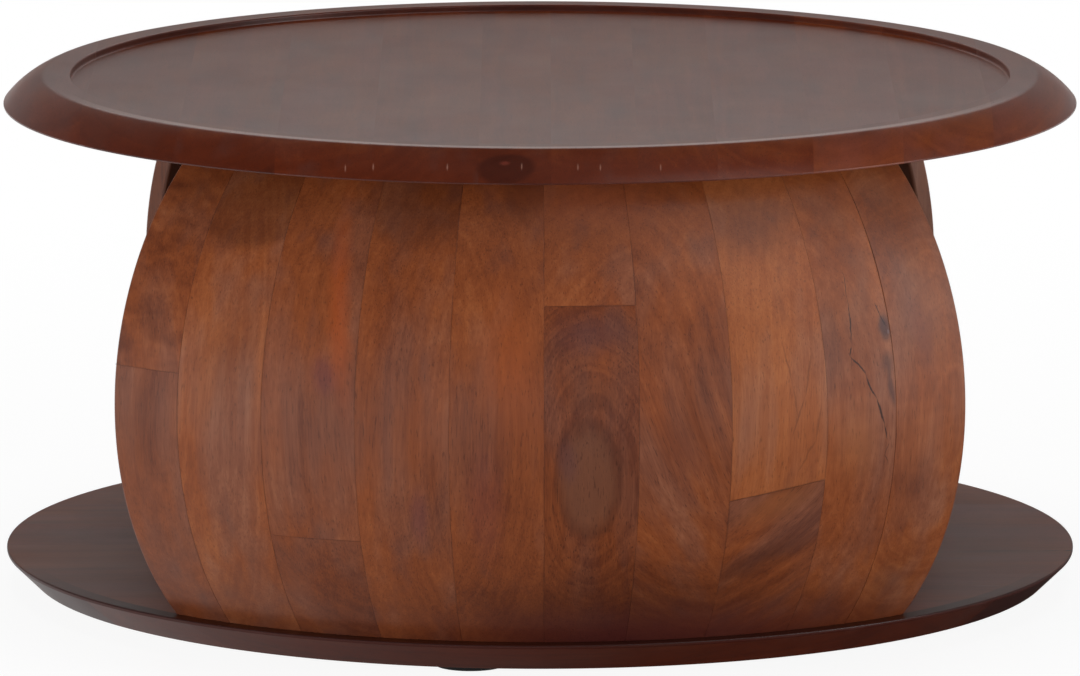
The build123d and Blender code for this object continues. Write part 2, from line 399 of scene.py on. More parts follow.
cleat_wood = stave_wood._replace(
    name="sawn_mango_cleats_thin_stain",
    hidden_stain=0.0,
    orange_shades=("#2c140d", "#472418", "#5c3122", "#744331", "#8d5a45"),
    grain=(1, 0, 0),
    roughness=0.62,
)

WARM_STOPS = (0.08, 0.34, 0.52, 0.70, 0.92)


def scaled(add, vector, factors):
    """A vector times three factors."""
    return add("VectorMath", (vector, factors), "MULTIPLY")


def grain_noise(add, plank, across, along, detail=2.0):
    """Noise in the plank, its grains this many millimetres across and along the fibres."""
    vector = scaled(add, plank, (1 / across, 1 / across, 1 / along))
    return add("TexNoise", {"Vector": vector, "Scale": 1, "Detail": detail})


def centred(add, noise):
    """A noise's colour as a vector about nought."""
    return add("VectorMath", (noise.outputs["Color"], (-0.5, -0.5, -0.5)), "ADD")


def tinted(add, share, colour, code):
    """A colour mixed with a fixed one by this share."""
    sockets = {0: share, 6: colour, 7: linear(code)}
    return add("Mix", sockets, data_type="RGBA").outputs[2]


def mark_places(add, axes, wobble):
    """Vectors round the belly and up the panel, in millimetres, for the front and the rear."""
    height = add("MULTIPLY_ADD", (axes[2], 1 / MM, -plate_level / MM))
    places = []
    for side in (1, -1):
        right = add("MULTIPLY", (axes[0], side))
        near = add("MULTIPLY", (axes[1], -side))
        turn = add("ARCTAN2", (right, near))
        round_belly = add("MULTIPLY", (turn, panel_belly_radius / MM))
        flat = add("CombineXYZ", (round_belly, height))
        places.append(add("VectorMath", (flat, wobble), "ADD"))
    return places


def paint_marks(add, colour, marks, place, stave, facing):
    """Lays the marks over a colour, each on its own stave of the panel that faces this way."""
    for mark in marks:
        form = {
            "Vector": place,
            "Location": (mark.across, mark.height, 0),
            "Rotation": (0, 0, math.radians(mark.turn)),
            "Scale": (mark.half_width, mark.half_height, 1),
        }
        local = add("Mapping", form, vector_type="TEXTURE")
        reach = add("VectorMath", (local,), "LENGTH")
        fade = (reach.outputs[1], 1.0, 1.0 - mark.softness, 0.0, mark.strength)
        depth = add("MapRange", fade, interpolation_type="SMOOTHSTEP")
        own = facing
        if mark.stave:
            own = add("COMPARE", (stave, mark.stave, 0.5))
        share = add("MULTIPLY", (depth, own))
        colour = tinted(add, share, colour, mark.colour)
    return colour


def stained_wood(wood, marks=((), ()), upper_marks=()):
    """The material of one stained and lacquered surface. marks lie on the front and the rear
    panel, upper_marks on faces that look up. Its parts look up the coordinates each for itself:
    one look-up for all takes more room than a shader has, and the staves come out black."""
    material, add = new_material(wood.name)
    steering = [
        add("Attribute", attribute_name=name).outputs["Vector"]
        for name in ("plank", "temper", "growth", "place")
    ]
    plank, temper, growth, place = steering
    tone, warmth, curl = add("SeparateXYZ", (temper,)).outputs
    rings_per_mm, ring_depth, pore_depth = add("SeparateXYZ", (growth,)).outputs
    stave, left_side, right_side = add("SeparateXYZ", (place,)).outputs
    end_joint = add("Attribute", attribute_name="end_joint").outputs["Fac"]

    # The grain swerves slowly: up to 8 mm in 60 across and 250 along.
    swerve = centred(add, grain_noise(add, plank, 60, 250))
    swerve = scaled(add, swerve, (16, 16, 0))
    bent = add("VectorMath", (plank, swerve), "ADD")

    # Growth rings round the heart.
    level = scaled(add, bent, (1, 1, 0))
    heart = add("VectorMath", (level,), "LENGTH").outputs[1]
    ring_count = add("MULTIPLY", (heart, rings_per_mm))
    wavering = {"W": ring_count, "Scale": 1, "Detail": 2.5, "Roughness": 0.6}
    rings = add("TexNoise", wavering, noise_dimensions="1D")

    # Streaks and fibres, drawn out along the grain.
    streaks = grain_noise(add, bent, 5, 170, detail=3)
    fibres = grain_noise(add, bent, 1.2, 26)

    # Open pores, 0.2 mm wide on the real wood; drawn at 0.9 mm so that they show.
    pores = grain_noise(add, bent, 0.9, 8, detail=1)
    pores = add("MapRange", (pores, 0.61, 0.72))

    # Ripples across the grain where it is curly.
    ripples = grain_noise(add, bent, 30, 10, detail=1.5)
    ripples = add("ADD", (ripples, -0.5))
    ripples = add("MULTIPLY", (ripples, curl))

    # Clouds of stain, longer along the grain.
    clouds = grain_noise(add, plank, 45, 110, detail=3)

    # End grain drinks more stain, and each board its own amount.
    facing = add("NewGeometry").outputs["Normal"]
    end = add("VectorMath", (facing, wood.grain), "DOT_PRODUCT")
    end = add("ABSOLUTE", (end.outputs[1],))
    drunk = add("MULTIPLY_ADD", (end, wood.end_tone, 1.0))
    tone = add("MULTIPLY", (tone, drunk))

    # All of it added up to one depth of stain.
    ring_share = add("ADD", (rings, -0.5))
    ring_share = add("MULTIPLY", (ring_share, ring_depth))
    depth = add("ADD", (tone, ripples))
    depth = add("ADD", (depth, ring_share))
    amounts = ((streaks, wood.streak_depth), (fibres, wood.streak_depth), (clouds, wood.cloud_depth))
    for pattern, amount in amounts:
        depth = add("MULTIPLY_ADD", (pattern, amount, depth))
    middle = 0.5 - sum(amount for pattern, amount in amounts) / 2 - wood.edge_stain
    depth = add("MULTIPLY_ADD", (end, -wood.end_grain, depth))
    upward = add("SeparateXYZ", (facing,)).outputs[2]
    level_face = add("ABSOLUTE", (upward,))
    depth = add("MULTIPLY_ADD", (level_face, wood.edge_stain, depth))
    depth = add("ADD", (depth, middle))
    orange = add("ValToRGB", (depth,))
    set_ramp(orange, [(at, linear(code)) for at, code in zip(WARM_STOPS, wood.orange_shades)])
    rosy = add("ValToRGB", (depth,))
    set_ramp(rosy, [(at, linear(code)) for at, code in zip(WARM_STOPS, wood.rosy_shades)])

    # Orange against rosy wood: in soft long patches, each piece by its own amount, and more
    # orange towards the end grain.
    patches = grain_noise(add, plank, 28, 150, detail=2)
    patches = add("MapRange", (patches, 0.36, 0.64))
    warm = add("MULTIPLY_ADD", (end, 0.9, patches))
    warm = add("ADD", (warm, warmth), use_clamp=True)
    colour = add("Mix", {0: warm, 6: rosy.outputs[0], 7: orange.outputs[0]}, data_type="RGBA").outputs[2]

    # Blue stain in the sapwood: soft greyish streaks.
    grey = grain_noise(add, plank, 22, 150)
    grey = add("MapRange", (grey, 0.56, 0.76, 0.0, 0.4))
    colour = tinted(add, grey, colour, "#53332d")

    if any(marks):
        flutter = centred(add, grain_noise(add, plank, 8, 18, detail=3))
        flutter = scaled(add, flutter, (4.5, 9, 0))
        spot = add("TexCoord").outputs["Object"]
        axes = add("SeparateXYZ", (spot,)).outputs
        sides = zip(marks, mark_places(add, axes, flutter), ("LESS_THAN", "GREATER_THAN"))
        for some, where, test in sides:
            this_side = add(test, (axes[1], 0.0))
            colour = paint_marks(add, colour, some, where, stave, this_side)
    if upper_marks:
        spot = add("TexCoord").outputs["Object"]
        where = scaled(add, spot, (1 / MM, 1 / MM, 0))
        facing_up = add("GREATER_THAN", (upward, 0.1))
        colour = paint_marks(add, colour, upper_marks, where, stave, facing_up)

        # Bands near the rim, towards the front: a painted highlight along the tray's crease, and painted
        # shade on the plate below the panels' bulge.
        radius = add("VectorMath", (where,), "LENGTH").outputs[1]
        back = add("SeparateXYZ", (where,)).outputs[1]
        front = add("MapRange", (back, -100, -260))
        front = add("MULTIPLY", (front, facing_up))
        for inner, outer, code, strength in wood.bands:
            middle_radius, half = (inner + outer) / 2, (outer - inner) / 2
            off = add("SUBTRACT", (radius, middle_radius))
            off = add("ABSOLUTE", (off,))
            share = add("MapRange", (off, half, half - 2, 0.0, strength))
            share = add("MULTIPLY", (share, front))
            colour = tinted(add, share, colour, code)

    # The panels' backs, the inner faces under the tray, get painted shade, and their sides come out darker
    # too.
    if wood.hidden_stain:
        spot = add("TexCoord").outputs["Object"]
        outwards = add("VectorMath", (scaled(add, spot, (1, 1, 0)),), "NORMALIZE")
        outwards = add("VectorMath", (facing, outwards), "DOT_PRODUCT")
        hidden = add("MapRange", (outwards.outputs[1], 0.75, -0.9, 0.0, wood.hidden_stain))
        colour = tinted(add, hidden, colour, "#1e0d09")

    # Pores hold more stain than the wood between them.
    pore_share = add("MULTIPLY", (pores, pore_depth))
    colour = tinted(add, pore_share, colour, "#2a120c")

    # Glue lines: dark stain caught beside a joint, coming and going along it.
    joint = add("MINIMUM", (left_side, right_side))
    joint = add("MINIMUM", (joint, end_joint))
    along = scaled(add, plank, (1 / 60, 1 / 60, 1 / 30))
    come_and_go = add("TexNoise", {"Vector": along, "Scale": 1, "Detail": 3})
    joint_width = add("MapRange", (come_and_go, 0.42, 0.70, 0.15, 1.7))
    in_joint = add("MapRange", {0: joint, 2: joint_width, 3: 0.32, 4: 0.0})
    colour = tinted(add, in_joint, colour, "#2b100b")

    # Lacquer: satin, a little duller where it was rubbed down more, following the pores.
    rubbed = grain_noise(add, plank, 70, 120, detail=2)
    roughness = add("MapRange", (rubbed, 0.3, 0.7, wood.roughness - 0.02, wood.roughness + 0.04))
    relief = add("MULTIPLY", (fibres, 0.35))
    relief = add("SUBTRACT", (relief, pores))
    fine = add("Bump", {"Strength": 0.35, "Distance": wood.relief * MM, "Height": relief})
    look = {"Base Color": colour, "Roughness": roughness, "Normal": fine, "IOR": 1.45}
    add("OutputMaterial", (add("BsdfPrincipled", look),))
    return material


# ---- Other finishes ----


def cloudy_finish(name, clouds, shades, sheen, grain, relief, metallic=0.0):
    """A plain finish whose shade and sheen drift in clouds over a fine relief. clouds is their
    size in millimetres and their detail, grain is the relief's pattern and size, and relief is
    how strongly it shows and how deep it is in millimetres."""
    material, add = new_material(name)
    spot = add("TexCoord").outputs["Object"]
    size, detail = clouds
    drift = add("TexNoise", {"Vector": spot, "Scale": 1 / (size * MM), "Detail": detail})
    tint = add("ValToRGB", (drift,))
    set_ramp(tint, [(at, linear(code)) for at, code in shades])
    roughness = add("MapRange", (drift, 0.3, 0.7, *sheen))
    pattern, size = grain
    strength, depth = relief
    height = add(pattern, {"Vector": spot, "Scale": 1 / (size * MM)})
    bump = add("Bump", {"Strength": strength, "Distance": depth * MM, "Height": height})
    look = {"Base Color": tint, "Metallic": metallic, "Roughness": roughness, "Normal": bump}
    add("OutputMaterial", (add("BsdfPrincipled", look),))
    return material


staves_finish = stained_wood(stave_wood, (front_marks, rear_marks))
tray_finish = stained_wood(tray_wood, upper_marks=tray_marks)
plate_finish = stained_wood(plate_wood, upper_marks=plate_marks)
cleat_finish = stained_wood(cleat_wood)

# Bright zinc with faint cloudy passivation and fine scratches from being driven in.
steel_finish = cloudy_finish(
    "zinc_plated_steel",
    clouds=(3, 2),
    shades=((0.3, "#8f8c82"), (0.7, "#b5b1a2")),
    sheen=(0.28, 0.42),
    grain=("TexNoise", 0.4),
    relief=(0.2, 0.02),
    metallic=1.0,
)

# Black rubber from a spark-eroded mould: dull, finely pebbled, greyer where it is dusty.
rubber_finish = cloudy_finish(
    "black_moulded_rubber",
    clouds=(9, 3),
    shades=((0.35, "#141414"), (0.75, "#242322")),
    sheen=(0.55, 0.72),
    grain=("TexVoronoi", 0.7),
    relief=(0.3, 0.05),
)

# ---- What every wooden piece carries ----


class Plank(NamedTuple):
    """How a piece was sawn: where the heart of the tree lay, and the wood's own character."""

    heart_across: float  # millimetres from the piece's middle, across its face
    heart_depth: float  # millimetres in front of its face
    lean: float = 0.0  # how far the heart moves across for each millimetre along
    sweep: float = 0.0  # the same again, for each millimetre squared
    dive: float = 0.0  # how far the heart comes forward for each millimetre along
    tone: float = 0.0
    warmth: float = 0.0  # above 0 is more orange, below 0 is rosier
    curl: float = 0.05
    ring_spacing: float = 5.0
    ring_depth: float = 0.12
    pore_depth: float = 0.35


FAR = 99  # millimetres, where a piece has no joint for the stain to catch in

dice = random.Random(11)


def any_plank(spread):
    """A plank for a piece that needs no particular figure."""
    return Plank(
        heart_across=dice.uniform(-90, 90),
        heart_depth=dice.uniform(60, 220) * dice.choice((-1, 1)),
        lean=dice.uniform(-0.06, 0.06),
        tone=dice.uniform(-spread, spread),
        warmth=dice.uniform(-0.3, 0.3),
        curl=dice.uniform(0.0, 0.12),
        ring_spacing=dice.uniform(3.5, 7),
        ring_depth=dice.uniform(0.06, 0.2),
    )


def record_grain(mesh, plank, to_plank, place=None, end_joint=None):
    """Writes what the stained wood reads. to_plank turns a point into metres across, in depth
    and along the plank; place gives a point's stave number and distances to the joints."""
    shift = dice.uniform(0, 4000)
    values = {"plank": [], "temper": [], "growth": [], "place": []}
    for vertex in mesh.vertices:
        across, depth, along = [value / MM for value in to_plank(vertex.co)]
        values["plank"] += [
            across - plank.heart_across - plank.lean * along - plank.sweep * along**2,
            depth - plank.heart_depth - plank.dive * along,
            along + shift,
        ]
        values["temper"] += [plank.tone, plank.warmth, plank.curl]
        values["growth"] += [1 / plank.ring_spacing, plank.ring_depth, plank.pore_depth]
        values["place"] += place(vertex.co) if place else (0, FAR, FAR)
    for name, numbers in values.items():
        layer = mesh.attributes.new(name, "FLOAT_VECTOR", "POINT")
        layer.data.foreach_set("vector", numbers)
    distances = [end_joint(vertex.co) if end_joint else FAR for vertex in mesh.vertices]
    layer = mesh.attributes.new("end_joint", "FLOAT", "POINT")
    layer.data.foreach_set("value", distances)


def hand_over(piece, material, slot, *nodes):
    """Finishes a piece: its material, its body and the CAD nodes it stands for. slot is not used."""
    piece.data.materials.clear()
    piece.data.materials.append(material)
    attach(piece, "root")
    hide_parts(*nodes)


# ---- Turned pieces ----


def rounded(corners, steps=5, margin=0.4 * MM):
    """An outline from corners (radius, height, rounding), with a margin beside each rounding."""
    outline = []
    for index, (x, z, rounding) in enumerate(corners):
        corner = Vector((x, z))
        if not rounding:
            outline.append(corner)
            continue
        back = (Vector(corners[index - 1][:2]) - corner).normalized()
        ahead = (Vector(corners[(index + 1) % len(corners)][:2]) - corner).normalized()
        half = back.angle(ahead) / 2
        tangent = rounding / math.tan(half)
        centre = corner + (back + ahead).normalized() * rounding / math.sin(half)
        first = corner + back * tangent - centre
        last = corner + ahead * tangent - centre
        sweep = math.pi - 2 * half
        outline.append(centre + first + back * margin)
        for step in range(steps + 1):
            share = step / steps
            before = math.sin((1 - share) * sweep) / math.sin(sweep)
            after = math.sin(share * sweep) / math.sin(sweep)
            outline.append(centre + first * before + last * after)
        outline.append(centre + last + ahead * margin)
    return outline


def turned(outline, steps, start=0.0, sweep=2 * math.pi):
    """A bmesh of a closed outline (radius, height) turned about the upright axis."""
    shape = bmesh.new()
    whole = abs(sweep - 2 * math.pi) < 1e-9
    on_axis = {}
    rings = []
    for step in range(steps if whole else steps + 1):
        angle = start + sweep * step / steps
        ring = []
        for number, (radius, height) in enumerate(outline):
            if radius < 1e-9:
                if number not in on_axis:
                    on_axis[number] = shape.verts.new((0, 0, height))
                ring.append(on_axis[number])
            else:
                spot = (radius * math.cos(angle), radius * math.sin(angle), height)
                ring.append(shape.verts.new(spot))
        rings.append(ring)
    pairs = list(zip(rings, rings[1:] + rings[:1])) if whole else list(zip(rings, rings[1:]))
    for ring, following in pairs:
        for here, there in zip(range(len(outline)), [*range(1, len(outline)), 0]):
            corners = [ring[here], following[here], following[there], ring[there]]
            corners = list(dict.fromkeys(corners))
            if len(corners) > 2:
                shape.faces.new(corners)
    if not whole:
        shape.faces.new(reversed(rings[0]))
        shape.faces.new(rings[-1])
    bmesh.ops.recalc_face_normals(shape, faces=shape.faces)
    return shape


SHARP_FROM = 35  # degrees


def smooth_mesh(shape, name, sharp_from=SHARP_FROM):
    """A plain mesh from a bmesh, smooth but for its sharp edges."""
    mesh = bpy.data.meshes.new(name)
    for face in shape.faces:
        face.smooth = True
    shape.to_mesh(mesh)
    shape.free()
    mesh.set_sharp_from_angle(angle=math.radians(sharp_from))
    return mesh


def cut_board(disc, axis, low, high):
    """The slice of a turned disc between two upright planes, with its sawn sides closed."""
    board = disc.copy()
    for edge, outwards in ((low, -1), (high, 1)):
        spot, normal = Vector(), Vector()
        spot[axis] = edge
        normal[axis] = outwards
        parts = board.verts[:] + board.edges[:] + board.faces[:]
        cut = bmesh.ops.bisect_plane(
            board, geom=parts, plane_co=spot, plane_no=normal, clear_outer=True, dist=1e-7
        )
        rim = [part for part in cut["geom_cut"] if isinstance(part, bmesh.types.BMEdge)]
        if rim:
            bmesh.ops.contextual_create(board, geom=rim)
    bmesh.ops.recalc_face_normals(board, faces=board.faces)
    return board


def along_bulge(start, end, bulge, share):
    """The point at this share of an arc between two points that swells out by the bulge."""
    start, end = Vector(start), Vector(end)
    chord = end - start
    out = Vector((chord.y, -chord.x)).normalized()
    half_turn = 2 * math.atan(2 * bulge / chord.length)
    radius = chord.length / (2 * math.sin(half_turn))
    turn = (2 * share - 1) * half_turn
    along = chord.normalized() * (chord.length / 2 + radius * math.sin(turn))
    return start + along + out * (bulge - radius + radius * math.cos(turn))


DISC_STEPS = 240
SLOPE_STEPS = 8

tray_lip = (tray_lip_radius, tray_bottom + tray_lip_height)
tray_crease = (tray_lip_radius - rim_slope_run, rim_level)
rim_slope = [
    along_bulge(tray_lip, tray_crease, rim_slope_bulge, step / SLOPE_STEPS)
    for step in range(1, SLOPE_STEPS)
]
tray_outline = rounded(
    [
        (0, tray_bottom, 0),
        (tray_lip_radius, tray_bottom, 0.3 * MM),
        (*tray_lip, 1.0 * MM),
        *[(*spot, 0) for spot in rim_slope],
        (*tray_crease, 11 * MM),
        (tray_radius, rim_level, 1.3 * MM),
        (tray_radius, rim_level - tray_depth, 1.6 * MM),
        (0, rim_level - tray_depth, 0),
    ],
    margin=0.15 * MM,
)
plate_outline = rounded(
    [
        (0, plate_bottom, 0),
        (plate_radius - plate_undercut_run, plate_bottom, 1.0 * MM),
        (plate_radius, plate_level - plate_lip_height, 1.2 * MM),
        (plate_radius, plate_level, 1.0 * MM),
        (0, plate_level, 0),
    ]
)

# The tray's boards from left to right, since their cut ends show in front.
tray_board_rows = [
    # heart across and deep, tone, warmth
    (-50, 140, -0.026, -0.2),
    (30, 140, -0.032, 0.0),
    (-45, 130, -0.028, 0.1),
    (-30, 150, -0.012, 0.1),
    (45, -120, -0.014, 0.2),
    (-60, 170, -0.019, 0.3),
    (20, 140, -0.010, 0.2),
    (-75, -110, -0.007, 0.0),
    (50, 160, -0.001, -0.2),
    (-20, 130, 0.021, -0.4),
    (65, 150, 0.008, -0.4),
    (-35, 150, 0.000, -0.4),
]
tray_planks = {
    f"top_board_{number:02}": Plank(across, depth, tone=tone, warmth=warmth)
    for number, (across, depth, tone, warmth) in enumerate(tray_board_rows, start=1)
}

discs = [
    # nodes, outline, axis across the boards, axis along them, finish, slot, tone, planks by name
    ("top_board", tray_outline, 0, 1, tray_finish, "tray_board_wood", 0.025, tray_planks),
    ("base_board", plate_outline, 1, 0, plate_finish, "base_board_wood", 0.03, {}),
]

for start, outline, across, along, finish, slot, spread, planks in discs:
    disc = turned(outline, DISC_STEPS)
    for node in sorted(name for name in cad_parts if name.startswith(start)):
        low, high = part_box(node)
        level = high.z
        middle = (low[across] + high[across]) / 2
        board = cut_board(disc, across, low[across], high[across])
        mesh = smooth_mesh(board, node + "_turned")
        record_grain(
            mesh,
            planks.get(node, any_plank(spread)),
            lambda spot: (spot[across] - middle, spot.z - level, spot[along]),
        )
        hand_over(new_object(node + "_turned", mesh), finish, slot, node)
    disc.free()

# ---- Bowed staves ----


def bowed_stave_tree():
    """Geometry nodes that bend a block into one stave of a bowed panel."""
    angles = ("Start Angle", "End Angle")
    ends = ("Low End", "High End", "Low Rise", "High Rise")
    bow = ("Thickness", "Bow Centre", "Bow Level", "Bow Radius", "Foot Level")
    tree, add, given = new_geometry(
        "bowed_stave",
        "Stave",
        Float=angles + ends + bow,
        Int=("Layers", "Columns", "Rows"),
        Material=("Finish",),
    )
    counts = [given[name] for name in ("Layers", "Columns", "Rows")]
    block = add("GeometryNodeMeshCube", ((1, 1, 1), *counts))
    spot = add("GeometryNodeInputPosition")
    cell = add("VectorMath", (spot, (0.5, 0.5, 0.5)), "ADD")
    outwards, round_table, upwards = add("SeparateXYZ", (cell,)).outputs
    noted = {"Geometry": block, "Name": "cell", "Value": cell}
    kept = add("GeometryNodeStoreNamedAttribute", noted, data_type="FLOAT_VECTOR", domain="POINT")
    angle = add("MapRange", (round_table, 0, 1, given["Start Angle"], given["End Angle"]))
    from_middle = add("ADD", (round_table, -0.5))
    low = add("MULTIPLY_ADD", (given["Low Rise"], from_middle, given["Low End"]))
    high = add("MULTIPLY_ADD", (given["High Rise"], from_middle, given["High End"]))
    height = add("MapRange", (upwards, 0, 1, low, high))
    inset = add("MapRange", (outwards, 0, 1, given["Thickness"], 0))
    parallel = add("SUBTRACT", (given["Bow Radius"], inset))
    over_level = add("SUBTRACT", (height, given["Bow Level"]))
    squared = add("MULTIPLY", (parallel, parallel))
    risen = add("MULTIPLY", (over_level, over_level))
    left_over = add("SUBTRACT", (squared, risen))
    run = add("SQRT", (left_over,))
    radius = add("ADD", (given["Bow Centre"], run))
    level = add("ADD", (given["Foot Level"], height))
    beside = add("CombineXYZ", (radius, 0, level))
    bent = add("VectorRotate", {"Vector": beside, "Angle": angle}, rotation_type="Z_AXIS")
    moved = add("GeometryNodeSetPosition", {"Geometry": kept, "Position": bent})
    put_out(add, moved, given["Finish"])
    return tree


def grow(tree, name, values):
    """Runs a geometry tree with these inputs and returns a plain mesh object."""
    piece = new_object(name, bpy.data.meshes.new(name))
    modifier = piece.modifiers.new("grow", "NODES")
    modifier.node_group = tree
    for socket in tree.interface.items_tree:
        if socket.in_out == "INPUT":
            modifier[socket.identifier] = values[socket.name]
    graph = bpy.context.evaluated_depsgraph_get()
    mesh = bpy.data.meshes.new_from_object(piece.evaluated_get(graph))
    piece.modifiers.remove(modifier)
    piece.data = mesh
    mesh.name = name
    return piece


def edge_sizes(mesh, widest, sides, ends, free_side):
    """Bevel weights for a stave's arrises, as shares of the widest. sides are the arris sizes at
    its start and end, ends at its foot and head, and free_side is the side that no stave joins."""
    cells = [Vector(item.vector) for item in mesh.attributes["cell"].data]
    weights = mesh.attributes.new("bevel_weight_edge", "FLOAT", "EDGE")
    for edge in mesh.edges:
        first, last = (cells[vertex] for vertex in edge.vertices)
        held = [
            axis
            for axis in range(3)
            if abs(first[axis] - last[axis]) < 1e-5 and min(first[axis], 1 - first[axis]) < 1e-5
        ]
        if len(held) < 2:
            continue
        if 1 in held and 0 in held:
            at_end = first[1] > 0.5
            size = widest if at_end == free_side else sides[at_end]
        else:
            size = ends[first[2] > 0.5]
        weights.data[edge.index].value = size / widest
    mesh.attributes.remove(mesh.attributes["cell"])


PANEL_END_ROUNDING = 2.5 * MM
END_ARRIS = 0.15 * MM
STAVE_LAYERS, STAVE_COLUMNS = 4, 11
ROW_HEIGHT = 5 * MM

# How open each upright joint of the front panel is, from left to right; 0 at its free ends.
front_joint_arrises = [0, 0.30, 0.25, 0.12, 0.16, 0.14, 0.22, 0.16, 0.14, 0.45, 0]
plain_arris = 0.18
slanted_joints = {"front_stave_08": math.radians(8.5)}

front_planks = {
    "front_stave_01_lower": Plank(30, 260, 0.05, tone=-0.02, warmth=-0.4),
    "front_stave_01_upper": Plank(-40, 90, -0.2, tone=-0.03, warmth=0.05, curl=0.35),
    "front_stave_02": Plank(-140, 60, 0.05, tone=0.05, warmth=-0.05),
    "front_stave_03_lower": Plank(60, 120, 0.0, tone=-0.06, warmth=-0.2),
    "front_stave_03_upper": Plank(160, 40, -0.04, tone=-0.02, warmth=-0.1),
    "front_stave_04": Plank(180, 80, 0.03, tone=-0.01, warmth=-0.1),
    "front_stave_05": Plank(-150, 90, 0.0, tone=-0.02, warmth=0.4),
    "front_stave_06_lower": Plank(
        2, 75, dive=0.15, tone=-0.06, warmth=0.05, ring_spacing=2.4, ring_depth=0.16, pore_depth=0.5
    ),
    "front_stave_06_upper": Plank(80, 130, 0.1, tone=0.0, warmth=0.0),
    "front_stave_07": Plank(
        -50, 45, -0.35, 0.002, tone=-0.01, warmth=0.0, curl=0.1, ring_spacing=6, ring_depth=0.18
    ),
    "front_stave_08_lower": Plank(
        40, 60, 0.9, 0.0, tone=-0.03, warmth=-0.2, curl=0.15, ring_spacing=7, ring_depth=0.2
    ),
    "front_stave_08_upper": Plank(120, 10, 0.05, tone=0.11, warmth=0.15),
    "front_stave_09": Plank(-90, 70, 0.02, tone=0.03, warmth=-0.05, curl=0.15),
    "front_stave_10": Plank(
        22, 70, 0.02, tone=0.04, warmth=-0.1, curl=0.15, ring_spacing=4, ring_depth=0.16
    ),
}


def turn_from(middle, spot):
    """A point's angle round the table from its panel's middle, within half a turn."""
    return (math.atan2(spot.y, spot.x) - middle + math.pi) % (2 * math.pi) - math.pi


def make_panel(side, middle, arrises, planks, first_number):
    """All the staves of one panel, each one or two lengths."""
    for node in sorted(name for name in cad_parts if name.startswith(side + "_stave")):
        stave = node[: len(side) + 9]
        number = int(stave[-2:])
        turns = [turn_from(middle, vertex.co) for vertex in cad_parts[node].data.vertices]
        first, last = min(turns), max(turns)
        width = (last - first) * panel_belly_radius
        low, high = (level.z - plate_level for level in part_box(node))
        rise = math.tan(slanted_joints.get(stave, 0)) * width
        half = rise / 2
        lower, upper = node.endswith("lower"), node.endswith("upper")
        piece = grow(
            stave_tree,
            node + "_bowed",
            {
                "Start Angle": middle + first,
                "End Angle": middle + last,
                "Low End": low + half if upper else low,
                "High End": high - half if lower else high,
                "Low Rise": rise if upper else 0.0,
                "High Rise": rise if lower else 0.0,
                "Thickness": stave_thickness,
                "Bow Centre": bow_centre,
                "Bow Level": bow_level,
                "Bow Radius": bow_radius,
                "Foot Level": plate_level,
                "Layers": STAVE_LAYERS,
                "Columns": STAVE_COLUMNS,
                "Rows": max(4, round((high - low) / ROW_HEIGHT)),
                "Finish": staves_finish,
            },
        )
        mesh = piece.data
        free_side = {1: 0, len(arrises) - 1: 1}.get(number, -1)
        sides = (arrises[number - 1] * MM, arrises[number] * MM)
        ends = (END_ARRIS, END_ARRIS)
        edge_sizes(mesh, PANEL_END_ROUNDING, sides, ends, free_side)
        centre = middle + (first + last) / 2
        out = Vector((math.cos(centre), math.sin(centre), 0))
        beside = Vector((-math.sin(centre), math.cos(centre), 0))

        def to_plank(spot):
            depth = spot.dot(out) - panel_belly_radius
            return spot.dot(beside), depth, spot.z - plate_level - bow_level

        def place(spot):
            turn = turn_from(middle, spot)
            radius = math.hypot(spot.x, spot.y) / MM
            left = (turn - first) * radius if number > 1 else FAR
            right = (last - turn) * radius if number < len(arrises) - 1 else FAR
            return first_number + number, left, right

        def to_joint(spot):
            turn = turn_from(middle, spot)
            share = (turn - first) / (last - first) - 0.5
            joint = high - half + rise * share if lower else low + half + rise * share
            return abs(spot.z - plate_level - joint) / MM

        end_joint = to_joint if lower or upper else None
        record_grain(mesh, planks.get(node) or any_plank(0.08), to_plank, place, end_joint)
        for face in mesh.polygons:
            face.use_smooth = True
        mesh.set_sharp_from_angle(angle=math.radians(SHARP_FROM))
        arris = piece.modifiers.new("arris", "BEVEL")
        arris.limit_method = "WEIGHT"
        arris.width = PANEL_END_ROUNDING
        arris.segments = 3
        arris.use_clamp_overlap = False
        hand_over(piece, staves_finish, "stave_wood", node)


stave_tree = bowed_stave_tree()
make_panel("front", front_middle, front_joint_arrises, front_planks, 0)
make_panel("rear", rear_middle, [0] + [plain_arris] * 9 + [0], {}, 10)

# ---- Cleats ----

CLEAT_STEPS, CLEAT_ROWS = 60, 6
CLEAT_ARRIS = 0.8 * MM


def make_cleat(node, middle, at_top):
    """A curved cleat in the corner between a panel and a disc."""
    inset = stave_thickness + cleat_glue_line
    disc, away = (panel_height, panel_height - cleat_height) if at_top else (0, cleat_height)
    back = panel_radius(disc, inset) - cleat_depth
    rows = [disc + (away - disc) * row / CLEAT_ROWS for row in range(CLEAT_ROWS + 1)]
    against = [(panel_radius(row, inset), plate_level + row, 0) for row in rows]
    corners = [
        *against[:-1],
        (against[-1][0], against[-1][1], CLEAT_ARRIS),
        (back, plate_level + away, CLEAT_ARRIS),
        (back, plate_level + disc, CLEAT_ARRIS),
    ]
    shape = turned(rounded(corners, steps=2), CLEAT_STEPS, middle - cleat_arc / 2, cleat_arc)
    mesh = smooth_mesh(shape, node + "_sawn")
    record_grain(mesh, any_plank(0.05), lambda spot: (spot.y, spot.z, spot.x))
    hand_over(new_object(node + "_sawn", mesh), cleat_finish, "cleat_wood", node)


for side, middle in (("front", front_middle), ("rear", rear_middle)):
    make_cleat(side + "_top_cleat", middle, at_top=True)
    make_cleat(side + "_base_cleat", middle, at_top=False)

# ---- Screws and glides ----

